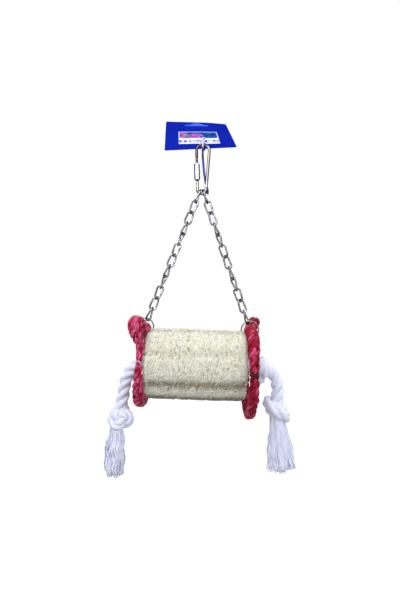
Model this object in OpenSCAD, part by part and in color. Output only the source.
// Hanging bird swing: a rope through a loofah perch, hung by two twisted chains from a quick link.
// X runs along the perch, Y goes away from the viewer, Z is up.
// The origin is the centre of the quick link's top arc, where the swing is hung.

/* [Quick link] */
// Diameter of the quick link's wire
eye_wire = 3.5; // [3:0.1:4.2]
// Radius of the top arc's centre line
eye_top_r = 7; // [6:0.5:9]
// Radius of the bottom arc's centre line
eye_bottom_r = 5.5; // [5:0.25:6]
// Distance between the centres of the two arcs
eye_centres = 41; // [38:1:48]
// Diameter of the threaded stretches
thread_d = 3; // [2.6:0.1:3.2]
// Length of the hexagonal nut
nut_len = 17.6; // [14:0.2:19]
// Width of the nut across its flats
nut_flats = 5.6; // [5.2:0.1:6]
// Distance from the top arc down the leg to the closed nut
nut_drop = 14.2; // [12:0.2:15]
// Opening of the gate that the nut closes
gate_gap = 3.5; // [2.5:0.1:4]
// Length of the lower end that the closed nut holds
gate_grip = 2.5; // [1.5:0.1:3]
// Radial clearance between the thread and the nut
thread_play = 0.2; // [0.15:0.05:0.3]

/* [Chains] */
// Number of links in each chain
link_count = 12; // [6:1:14]
// Diameter of the chain's wire
chain_wire = 2; // [1.6:0.1:2.2]
// Length of the opening in a link
link_inner_len = 13; // [11:0.25:15]
// Width of the opening in a link
link_inner_w = 4.8; // [4.6:0.1:5.4]
// Twist of a link from one end to the other
link_twist = 45; // [35:1:50]
// Turn of the first link about its chain
first_roll = 5; // [0:1:10]
// Turn of the second link about its chain
second_roll = 112; // [108:1:116]
// Place of the first links round the bottom arc
seat_angle = 32; // [30:1:34]
// Running gap between pieces that hang in each other
gap = 0.3; // [0.2:0.05:0.4]

/* [Wire rings] */
// Outer diameter of a split wire ring
split_ring_d = 20.7; // [20.4:0.1:22]
// Diameter of its wire
split_ring_wire = 1.5; // [1.2:0.1:1.6]
// Gap between the two ends of its wire
split_gap = 0.6; // [0.4:0.1:1]
// How far a wire ring's centre lies inside the braid's centre line
ring_inset = 0.65; // [0:0.05:1.2]

/* [Red rings] */
// Radius of the left braided ring's centre line
left_braid_r = 40; // [38:0.5:46]
// Radius of the right braided ring's centre line
right_braid_r = 45; // [38:0.5:46]
// Thickness of the braid
braid_d = 12.4; // [11:0.2:12.6]
// Thickness of the braid where thread draws it in
pinch_d = 7.5; // [6.5:0.25:9]
// How far the left ring's lobe stands outward
left_lobe_out = 6; // [3:0.5:9]
// How far the right ring's lobe stands outward
right_lobe_out = 8.5; // [4:0.5:12]
// How far a lobe stands up from its ring's centre line
lobe_up = 18.5; // [10:0.5:22]
// How far the braid's centre line lies under a wire ring's centre
braid_sag = 1.3; // [1:0.1:2.4]
// Diameter of the binding thread
thread_w = 1; // [0.8:0.1:1.4]

/* [Perch] */
// Length of the loofah
loofah_len = 104; // [90:1:130]
// Diameter of the loofah
loofah_d = 76; // [70:1:80]
// Swell of the loofah's middle, on the radius
loofah_swell = 0.6; // [0:0.1:1]
// Length of the rounding at each end of the loofah
loofah_round = 6; // [4:0.5:8]
// Depth of the long grooves in the loofah
groove_depth = 1.6; // [0.8:0.2:2.4]
// Diameter of the seed channels
seed_channel_d = 9; // [6:0.5:10]
// Distance of the seed channels from the rope
seed_channel_r = 19; // [17:0.5:22]
// Distance from the wire rings' centres down to the rope's centre line
perch_drop = 39.3; // [38:0.1:44]

/* [Rope] */
// Diameter of the cotton rope
rope_d = 14; // [12:0.5:15]
// Clearance between the rope and the loofah
rope_play = 0.3; // [0.2:0.05:0.5]
// Diameter of the knots near the rope's ends
end_knot_d = 28.4; // [26:0.2:32]
// Diameter of the knot beside the right ring
inner_knot_d = 33; // [30:0.5:35]
// Thickness of the knot beside the right ring
inner_knot_t = 16.6; // [15:0.2:17]
// Length of the left tassel
left_tassel_len = 58; // [40:1:70]
// Length of the right tassel
right_tassel_len = 60; // [40:1:70]
// Width of the left tassel's end
left_tassel_w = 25; // [20:0.5:30]
// Width of the right tassel's end
right_tassel_w = 33; // [24:0.5:36]

/* [Card and strap] */
// Width of the header card
card_w = 80; // [70:1:90]
// Height of the header card
card_h = 108; // [96:1:116]
// Thickness of the card
card_t = 0.5; // [0.4:0.1:0.8]
// How far the card's top right corner curls back
top_curl = 2.6; // [0:0.2:6]
// How far its lower right corner curls forward
right_curl = 2.4; // [0:0.2:4]
// How far its lower left corner curls back
left_curl = 3; // [0:0.2:5]
// Radius of the card's corners
card_corner = 2; // [1:0.5:4]
// Lean of the card from the vertical
card_lean = 49.4; // [46:0.2:52]
// Roll of the card on its own plane
card_roll = 4.3; // [0:0.1:5]
// Width of the hanging slot
slot_w = 31; // [28:0.5:34]
// Height of the hanging slot's arms
slot_h = 6; // [5:0.5:7]
// Height of the hanging slot's hump from the arms' lower edge
slot_rise = 14; // [12:0.5:16]
// Diameter of the hump's round top
slot_hump_d = 12.5; // [10:0.5:14]
// Width of the hump's foot
slot_foot_w = 20; // [16:0.5:22]
// Diameter of the hole that the strap passes
strap_hole_d = 6; // [5.5:0.5:7]
// Distance of that hole from the card's middle
hole_aside = 5.6; // [0:0.2:8]
// Width of the tie strap
strap_w = 2.3; // [2:0.1:2.5]
// Thickness of the tie strap
strap_t = 0.9; // [0.7:0.1:1]
// Place of the strap's foot beside the quick link's middle
strap_foot_x = 6.3; // [6:0.1:6.6]

/* [Hidden] */
SIDES = ["left", "right"];

function link_name(side, i) = str(SIDES[side], "_link_", i < 9 ? "0" : "", i + 1);

// Overrun of every cut
over = 1;

// The quick link's legs run between the two arcs
leg_lean = asin((eye_top_r - eye_bottom_r) / eye_centres);
nut_travel = gate_gap + gate_grip + gap;
thread_start = nut_drop - nut_travel - gap;
gate_low = nut_drop + nut_len - gate_grip;
gate_high = gate_low - gate_gap;
nut_bore = thread_d + 2 * thread_play;
nut_chamfer = 0.6;
lower_thread_end = gate_low + gate_grip + gap;
shoulder = 0.3;
eye_sides = 16;
top_steps = 20;
bottom_steps = 16;

// A link's centre line, and the line that each chain hangs along
link_len = link_inner_len + chain_wire;
link_r = (link_inner_w + chain_wire) / 2;
pitch = link_inner_len - gap;
seat_r = eye_bottom_r - eye_wire / 2 - gap - chain_wire / 2;
chain_x = seat_r * sin(seat_angle);
chain_z = -eye_centres - seat_r * cos(seat_angle);
link_sides = 8;
bend_steps = 6;
leg_steps = 3;

// The braids stand beside the loofah's ends, and the wire rings hang in the last links over them
loofah_r = loofah_d / 2;
loofah_half = loofah_len / 2;
braid_x = loofah_half + gap + braid_d / 2;
ring_r = (split_ring_d - split_ring_wire) / 2;
ring_x = braid_x - ring_inset;
hang_len = (link_count - 1) * pitch + link_len - (chain_wire + split_ring_wire) / 2 - gap;
// Angle of a chain from the vertical, at which its wire ring comes over the braid
chain_spread = asin((ring_x - chain_x) / (hang_len + ring_r));
ring_z = chain_z - (hang_len + ring_r) * cos(chain_spread);
ring_sides = 8;
ring_steps = 30;

// The braided rings rest in the wire rings
perch_z = ring_z - perch_drop;
braid_top_z = ring_z - braid_sag;
braid_rs = [left_braid_r, right_braid_r];
lobe_outs = [left_lobe_out, right_lobe_out];
braid_sides = 10;
braid_steps = 60;
lobe_spread = 14;
pinch_spread = 12;
fill_spread = 12;
// Turn of each ring's lobe from the top, towards the viewer, and of its pinch
lobe_turns = [35, -35];
pinch_turns = [78, 84];
thread_seat = 0.4;
thread_slack = 0.1;

// The braid swells to fill its wire ring, clear of the ring, of the loofah's rim and of the last link
end_radius_share = 0.9;
ring_bore_r = ring_r - split_ring_wire / 2;
rim_under = perch_drop - end_radius_share * loofah_r - braid_sag;
link_reach = ring_bore_r - gap - chain_wire;
link_over = [link_reach * sin(chain_spread) + ring_inset, link_reach * cos(chain_spread) + braid_sag];
fill_half = min(ring_bore_r - braid_sag, norm([braid_d / 2 + gap, rim_under]), norm(link_over)) - gap;

loofah_sides = 48;
// Stations along the loofah and the part of its full radius that each has
station_shares = [-1, -0.5, 0, 0.5, 1];
// Turns of the grooves round the loofah, from the viewer's side, upward
groove_turns = [-31, 24, 78, 133, 190, 246, 291];
groove_spread = 7;
seed_turns = [90, 210, 330];

// Rope routes from the loofah's ends: outward, then up
left_route = [
    [0, 0], [4, 0], [8, -0.7], [12, -2.5], [16, -5.4], [19, -8.7], [21.7, -12.8],
    [23.8, -17.5], [25.3, -22], [26.8, -29], [28, -36.5], [29.6, -44], [31.2, -52],
    [32.4, -62], [33, -73]
];
right_route = [
    [0, 0], [8, 0], [13.2, -0.3], [18.3, -1.5], [23.2, -3.6], [27.7, -6.7], [31.6, -10.6],
    [34.8, -15.3], [37, -20.6], [38.1, -26.2], [38.3, -32], [38, -38.5], [38, -45],
    [38.6, -52], [39.4, -59]
];
rope_sides = 12;
left_knot_at = [31.6, -60.5];
right_knot_at = [37.6, -46.7];
inner_knot_at = [20.8, -3];
tassel_leans = [0, -5];
tassel_neck_share = 0.5;
// Stations down a tassel, and the part of its end width that each has
tassel_shares = [[0.18, 0.68], [0.45, 0.86], [0.75, 0.97], [1, 1]];

// The card leans back behind the top arc, and bears on it
card_rest = 1.25;
card_y = eye_wire / 2 + card_rest;
card_z = 3.6;
strap_hole_up = 39.5;
// Distance from the card's top down to the lower edge of the slot's arms
slot_inset = 19.6;
slot_up = card_h - slot_inset;
slot_end_share = 0.455;
curl_start_share = 0.05;
curl_steps = 12;
strap_tip_play = 1;
strap_tip_up = strap_hole_up - strap_hole_d / 2 + strap_t / 2 + strap_tip_play;
strap_tip_r = 1;
strap_tip_turn = 135;
strap_foot_r = 4.5;
strap_foot_z = -43;
strap_steps = 8;
// Places of the strap before and over the top arc, as parts of the wire from the arc's outside
strap_rise_share = 1.3;
strap_over_shares = [[-0.95, 0.75], [-0.2, 1.15], [1, 1.75]];
// Places of the strap on its way down behind, as parts of the tip's depth, the foot and the arc
strap_back_share = 0.4;
strap_bow_shares = [1.2, -1.4];
tip_y = card_y + strap_tip_up * sin(card_lean);
tip_z = card_z + strap_tip_up * cos(card_lean);
strap_lean = atan(strap_foot_x / (tip_z - strap_foot_z));

// Vectors and swept tubes

function unit(v) = v / norm(v);

function tangent(path, i, closed) =
    let (n = len(path))
    closed
        ? unit(path[(i + 1) % n] - path[(i + n - 1) % n])
        : unit(path[min(i + 1, n - 1)] - path[max(i - 1, 0)]);

// One ring of points, its first axis square to the reference and its second along it
function ring_points(centre, along, ref, r_out, r_ref, sides) =
    let (s = unit(cross(along, ref)), b = cross(s, along))
    [
        for (k = [0 : sides - 1])
            centre + r_out * cos(360 * k / sides) * s + r_ref * sin(360 * k / sides) * b
    ];

function band_faces(a, b, sides) = [
    for (k = [0 : sides - 1])
        let (l = (k + 1) % sides)
        each [[a + k, a + l, b + l], [a + k, b + l, b + k]]
];

function tube_faces(rings, sides, closed) = concat(
    [
        for (i = [0 : rings - (closed ? 1 : 2)])
            each band_faces(i * sides, (i + 1) % rings * sides, sides)
    ],
    closed ? [] : [for (k = [1 : sides - 2]) [0, k + 1, k]],
    closed ? [] : let (e = (rings - 1) * sides) [for (k = [1 : sides - 2]) [e, e + k, e + k + 1]]
);

// A tube of one or more sizes along a path, with a reference direction for each point
module tube(path, refs, r_out, r_ref, sides, closed) {
    points = [
        for (i = [0 : len(path) - 1])
            each ring_points(path[i], tangent(path, i, closed), refs[i], r_out[i], r_ref[i], sides)
    ];
    polyhedron(points, tube_faces(len(path), sides, closed));
}

module round_tube(path, ref, r, sides, closed) {
    same = [for (p = path) r];
    tube(path, [for (p = path) ref], same, same, sides, closed);
}

// Quick link

function arc_points(r, z, from, to, steps) = [
    for (k = [0 : steps])
        let (a = from + (to - from) * k / steps)
        [r * cos(a), 0, z + r * sin(a)]
];

// A point at a distance down a leg: side 1 is the right leg, -1 the left
function leg_point(side, s) = [
    side * (eye_top_r * cos(leg_lean) - s * sin(leg_lean)),
    0,
    -eye_top_r * sin(leg_lean) - s * cos(leg_lean)
];

// Moves its children so that they hang down along a leg
module on_leg(side) {
    translate(leg_point(side, 0))
        rotate([0, side * leg_lean, 0])
            children();
}

// One bent rod, from the gate's upper end over both arcs to its lower end
module quick_link() {
    top = arc_points(eye_top_r, 0, 180 + leg_lean, -leg_lean, top_steps);
    bottom = arc_points(eye_bottom_r, -eye_centres, -leg_lean, leg_lean - 180, bottom_steps);
    upper_end = [leg_point(-1, gate_high), leg_point(-1, thread_start + shoulder)];
    lower_end = [leg_point(-1, lower_thread_end), leg_point(-1, gate_low)];
    path = concat(
        upper_end, [leg_point(-1, thread_start)], top, bottom,
        [leg_point(-1, lower_thread_end + shoulder)], lower_end
    );
    wires = [for (i = [0 : len(top) + len(bottom) + 1]) eye_wire / 2];
    threads = [for (i = [0, 1]) thread_d / 2];
    radii = concat(threads, wires, threads);
    color("silver")
        tube(path, [for (p = path) [0, 1, 0]], radii, radii, eye_sides, false);
}

module quick_link_nut() {
    corner_r = nut_flats / 2 / cos(30);
    color("silver")
        on_leg(-1)
            translate([0, 0, -nut_drop - nut_len])
                difference() {
                    intersection() {
                        cylinder(h = nut_len, r = corner_r, $fn = 6);
                        rotate_extrude($fn = 48)
                            polygon([
                                [0, 0], [corner_r - nut_chamfer, 0], [corner_r, nut_chamfer],
                                [corner_r, nut_len - nut_chamfer], [corner_r - nut_chamfer, nut_len],
                                [0, nut_len]
                            ]);
                    }
                    translate([0, 0, -over])
                        cylinder(h = nut_len + 2 * over, d = nut_bore, $fn = 32);
                }
}

// Chains

// Half of a link's flat outline: one end bend and the leg after it
function link_half(turn) = concat(
    [
        for (k = [0 : bend_steps])
            let (a = 180 * k / bend_steps)
            turn * [link_r * cos(a), (link_len / 2 - link_r) + link_r * sin(a)]
    ],
    [
        for (k = [1 : leg_steps - 1])
            turn * [-link_r, (link_len / 2 - link_r) * (1 - 2 * k / leg_steps)]
    ]
);

// The outline hangs below the top bend's centre line, and its plane turns on the way down
function twist_at(v) = -link_twist * v / link_len;

module twisted_link() {
    flat = concat(link_half(1), link_half(-1));
    path = [
        for (p = flat)
            let (a = twist_at(p[1]))
            [-p[0] * sin(a), p[0] * cos(a), p[1] - link_len / 2]
    ];
    refs = [
        for (p = flat)
            let (a = twist_at(p[1]))
            [cos(a), sin(a), 0]
    ];
    same = [for (p = flat) chain_wire / 2];
    tube(path, refs, same, same, link_sides, true);
}

module chain_link(side, i) {
    roll = i == 0 ? first_roll : second_roll - (90 - link_twist) * (i - 1);
    x_side = side == 0 ? -1 : 1;
    color("lightsteelblue")
        translate([x_side * chain_x, 0, chain_z])
            rotate([0, -x_side * chain_spread, 0])
                translate([0, 0, -pitch * i])
                    rotate([0, 0, roll])
                        twisted_link();
}

// Wire rings

module split_wire_ring(x_side) {
    half_gap = split_gap / ring_r * 90 / PI;
    path = [
        for (k = [0 : ring_steps])
            let (a = -90 + half_gap + (360 - 2 * half_gap) * k / ring_steps)
            [ring_r * cos(a), 0, ring_r * sin(a)]
    ];
    color("gainsboro")
        translate([x_side * ring_x, 0, ring_z])
            round_tube(path, [0, 1, 0], split_ring_wire / 2, ring_sides, false);
}

// Braided rings

// How strongly a lobe or a pinch at one turn acts at another turn
function nearness(a, b, spread) = let (d = (a - b + 540) % 360 - 180) exp(-pow(d / spread, 2));

function braid_point(i, side) =
    let (
        a = 360 * i / braid_steps,
        x_side = side == 0 ? -1 : 1,
        lobe = nearness(a, lobe_turns[side], lobe_spread),
        r = braid_rs[side] + lobe_up * lobe
    )
    [
        x_side * (braid_x + lobe_outs[side] * lobe),
        -r * sin(a),
        braid_top_z - braid_rs[side] + r * cos(a)
    ];

function braid_half(i, side) =
    let (a = 360 * i / braid_steps)
    braid_d / 2
        + (fill_half - braid_d / 2) * nearness(a, 0, fill_spread)
        - (braid_d - pinch_d) / 2 * nearness(a, pinch_turns[side], pinch_spread);

module braided_ring(side) {
    steps = [0 : braid_steps - 1];
    path = [for (i = steps) braid_point(i, side)];
    halves = [for (i = steps) braid_half(i, side)];
    color("crimson")
        tube(path, [for (i = steps) [1, 0, 0]], halves, halves, braid_sides, true);
}

module binding_thread(side) {
    a = pinch_turns[side];
    r = braid_rs[side];
    x_side = side == 0 ? -1 : 1;
    color(side == 0 ? "white" : "darkred")
        translate([x_side * braid_x, -r * sin(a), braid_top_z - r + r * cos(a)])
            rotate([90 + a, 0, 0])
                for (turn = [-1, 1])
                    translate([0, 0, turn * (thread_w + thread_slack) / 2])
                        rotate_extrude($fn = 64)
                            translate([(pinch_d + thread_w) / 2 + thread_seat, 0])
                                circle(d = thread_w, $fn = 16);
}

// Perch

function groove_sum(a) =
    [for (g = groove_turns) nearness(a, g, groove_spread)] * [for (g = groove_turns) 1];

function loofah_ring(x, r) = [
    for (k = [0 : loofah_sides - 1])
        let (a = 360 * k / loofah_sides, q = r - groove_depth * groove_sum(a))
        [x, -q * cos(a), q * sin(a)]
];

module loofah_body() {
    straight = loofah_half - loofah_round;
    rings = concat(
        [[-loofah_half, end_radius_share * loofah_r]],
        [for (s = station_shares) [s * straight, loofah_r + loofah_swell * (1 - s * s)]],
        [[loofah_half, end_radius_share * loofah_r]]
    );
    points = [for (q = rings) each loofah_ring(q[0], q[1])];
    polyhedron(points, tube_faces(len(rings), loofah_sides, false));
}

module loofah() {
    color("cornsilk")
        difference() {
            translate([0, 0, perch_z])
                loofah_body();
            translate([-loofah_half - over, 0, perch_z])
                rotate([0, 90, 0])
                    cylinder(h = loofah_len + 2 * over, d = rope_d + 2 * rope_play, $fn = 48);
            for (a = seed_turns)
                translate([
                    -loofah_half - over, -seed_channel_r * cos(a), perch_z + seed_channel_r * sin(a)
                ])
                    rotate([0, 90, 0])
                        cylinder(h = loofah_len + 2 * over, d = seed_channel_d, $fn = 32);
            for (x_side = [-1, 1])
                translate([x_side * ring_x, 0, ring_z])
                    rotate([90, 0, 0])
                        rotate_extrude($fn = 64)
                            translate([ring_r, 0])
                                circle(d = split_ring_wire + 2 * gap, $fn = 24);
        }
}

// Rope

module rope_core() {
    color("ghostwhite")
        translate([-loofah_half, 0, perch_z])
            rotate([0, 90, 0])
                cylinder(h = loofah_len, d = rope_d, $fn = 48);
}

module rope_tail(side) {
    x_side = side == 0 ? -1 : 1;
    route = side == 0 ? left_route : right_route;
    path = [for (p = route) [x_side * (loofah_half + p[0]), 0, perch_z + p[1]]];
    color("ghostwhite")
        round_tube(path, [0, 1, 0], rope_d / 2, rope_sides, false);
}

// Moves its children to a point of a tail's own plane
module on_tail(side, at) {
    translate([(side == 0 ? -1 : 1) * (loofah_half + at[0]), 0, perch_z + at[1]])
        children();
}

module inner_knot() {
    squash = inner_knot_t / inner_knot_d;
    color("ghostwhite")
        on_tail(1, inner_knot_at)
            rotate([0, 90, 0])
                rotate_extrude($fn = 64)
                    polygon([
                        for (a = [-90 : 10 : 90])
                            inner_knot_d / 2 * [cos(a), squash * sin(a)]
                    ]);
}

module end_knot(side) {
    color("ghostwhite")
        on_tail(side, side == 0 ? left_knot_at : right_knot_at)
            sphere(d = end_knot_d, $fn = 64);
}

module tassel(side) {
    at = side == 0 ? left_knot_at : right_knot_at;
    w = side == 0 ? left_tassel_w : right_tassel_w;
    h = side == 0 ? left_tassel_len : right_tassel_len;
    neck = end_knot_d / 2 * tassel_neck_share;
    color("ghostwhite")
        on_tail(side, at)
            rotate([0, tassel_leans[side], 0])
                translate([0, 0, -neck])
                    rotate_extrude($fn = 64)
                        polygon(concat(
                            [[0, 0], [rope_d / 2, 0]],
                            [for (s = tassel_shares) [w / 2 * s[1], -h * s[0]]],
                            [[0, -h]]
                        ));
}

// Card and strap

// Moves its children to the card's lower edge, with Z up along the card
module on_card() {
    translate([0, card_y, card_z])
        rotate([-card_lean, 0, 0])
            children();
}

// How far the sheet stands back from its plane, at one place across it and up it
function curl_at(x, up) =
    let (
        start = card_w * curl_start_share,
        low = 1 - up / card_h,
        right = max(x - start, 0) / (card_w / 2 - start),
        left = max(start - x, 0) / (card_w / 2 + start)
    )
    right * right * (top_curl - (top_curl + right_curl) * low) + left * left * left_curl * low;

module card_sheet() {
    points = [
        for (k = [0 : curl_steps])
            let (x = card_w * (k / curl_steps - 1 / 2))
            for (q = [[0, 0], [0, 1], [1, 1], [1, 0]])
                [x, curl_at(x, q[1] * card_h) + q[0] * card_t, q[1] * card_h]
    ];
    polyhedron(points, tube_faces(curl_steps + 1, 4, false));
}

// The slot: two arms, and a hump with a round top over them
module hanging_slot() {
    translate([-slot_w / 2, slot_up])
        rounded_square(slot_w, slot_h, slot_h * slot_end_share);
    hull() {
        translate([0, slot_up + slot_rise - slot_hump_d / 2])
            circle(d = slot_hump_d, $fn = 32);
        translate([-slot_foot_w / 2, slot_up])
            square([slot_foot_w, slot_h]);
    }
}

module card_outline() {
    front = right_curl + over;
    back = top_curl + left_curl + card_t + over;
    translate([0, back, 0])
        rotate([90, 0, 0])
            linear_extrude(height = front + back)
                difference() {
                    translate([-card_w / 2, 0])
                        rounded_square(card_w, card_h, card_corner);
                    translate([hole_aside, strap_hole_up])
                        circle(d = strap_hole_d, $fn = 32);
                    hanging_slot();
                }
}

module rounded_square(w, h, r) {
    translate([r, 0])
        square([w - 2 * r, h]);
    translate([0, r])
        square([w, h - 2 * r]);
    for (x = [r, w - r])
        for (y = [r, h - r])
            translate([x, y])
                circle(r = r, $fn = 32);
}

module header_card() {
    color("royalblue")
        on_card()
            translate([0, 0, strap_hole_up])
                rotate([0, -card_roll, 0])
                    translate([-hole_aside, 0, -strap_hole_up])
                        intersection() {
                            card_sheet();
                            card_outline();
                        }
}

// The strap's loop, seen from its side as [Y, Z]: up in front, through the card, down behind
function strap_line() = concat(
    [
        for (k = [0 : strap_steps])
            let (a = 180 * k / strap_steps)
            [strap_foot_r * cos(a), strap_foot_z - strap_foot_r * sin(a)]
    ],
    [
        [-strap_foot_r, eye_wire * strap_rise_share],
        for (s = strap_over_shares) [eye_wire * s[0], eye_top_r + eye_wire * s[1]]
    ],
    [
        for (k = [0 : strap_steps])
            let (a = strap_tip_turn + card_lean / 2 - 180 * k / strap_steps)
            [tip_y + strap_tip_r * cos(a), tip_z + card_t / 2 + strap_tip_r * sin(a)]
    ],
    [
        [tip_y * strap_back_share, 0],
        [strap_foot_r * strap_bow_shares[0], eye_top_r * strap_bow_shares[1]]
    ]
);

function offset_line(line, d) =
    let (n = len(line))
    [
        for (i = [0 : n - 1])
            let (t = unit(line[(i + 1) % n] - line[(i + n - 1) % n]))
            line[i] + d * [t[1], -t[0]]
    ];

module tie_strap() {
    line = strap_line();
    color("royalblue")
        translate([0, 0, tip_z])
            rotate([0, -strap_lean, 0])
                translate([0, 0, -tip_z])
                    rotate([90, 0, 90])
                        translate([0, 0, -strap_w / 2])
                            linear_extrude(height = strap_w)
                                difference() {
                                    polygon(offset_line(line, -strap_t / 2));
                                    polygon(offset_line(line, strap_t / 2));
                                }
}

quick_link();
quick_link_nut();
tie_strap();
header_card();
for (side = [0, 1])
    for (i = [0 : link_count - 1])
        chain_link(side, i);
split_wire_ring(-1);  // left_wire_ring
split_wire_ring(1);  // right_wire_ring
braided_ring(0);  // left_red_ring
braided_ring(1);  // right_red_ring
binding_thread(0);  // left_binding_thread
binding_thread(1);  // right_binding_thread
loofah();
rope_core();
rope_tail(0);  // left_rope_tail
rope_tail(1);  // right_rope_tail
inner_knot();  // right_inner_knot
end_knot(0);  // left_end_knot
end_knot(1);  // right_end_knot
tassel(0);  // left_tassel
tassel(1);  // right_tassel
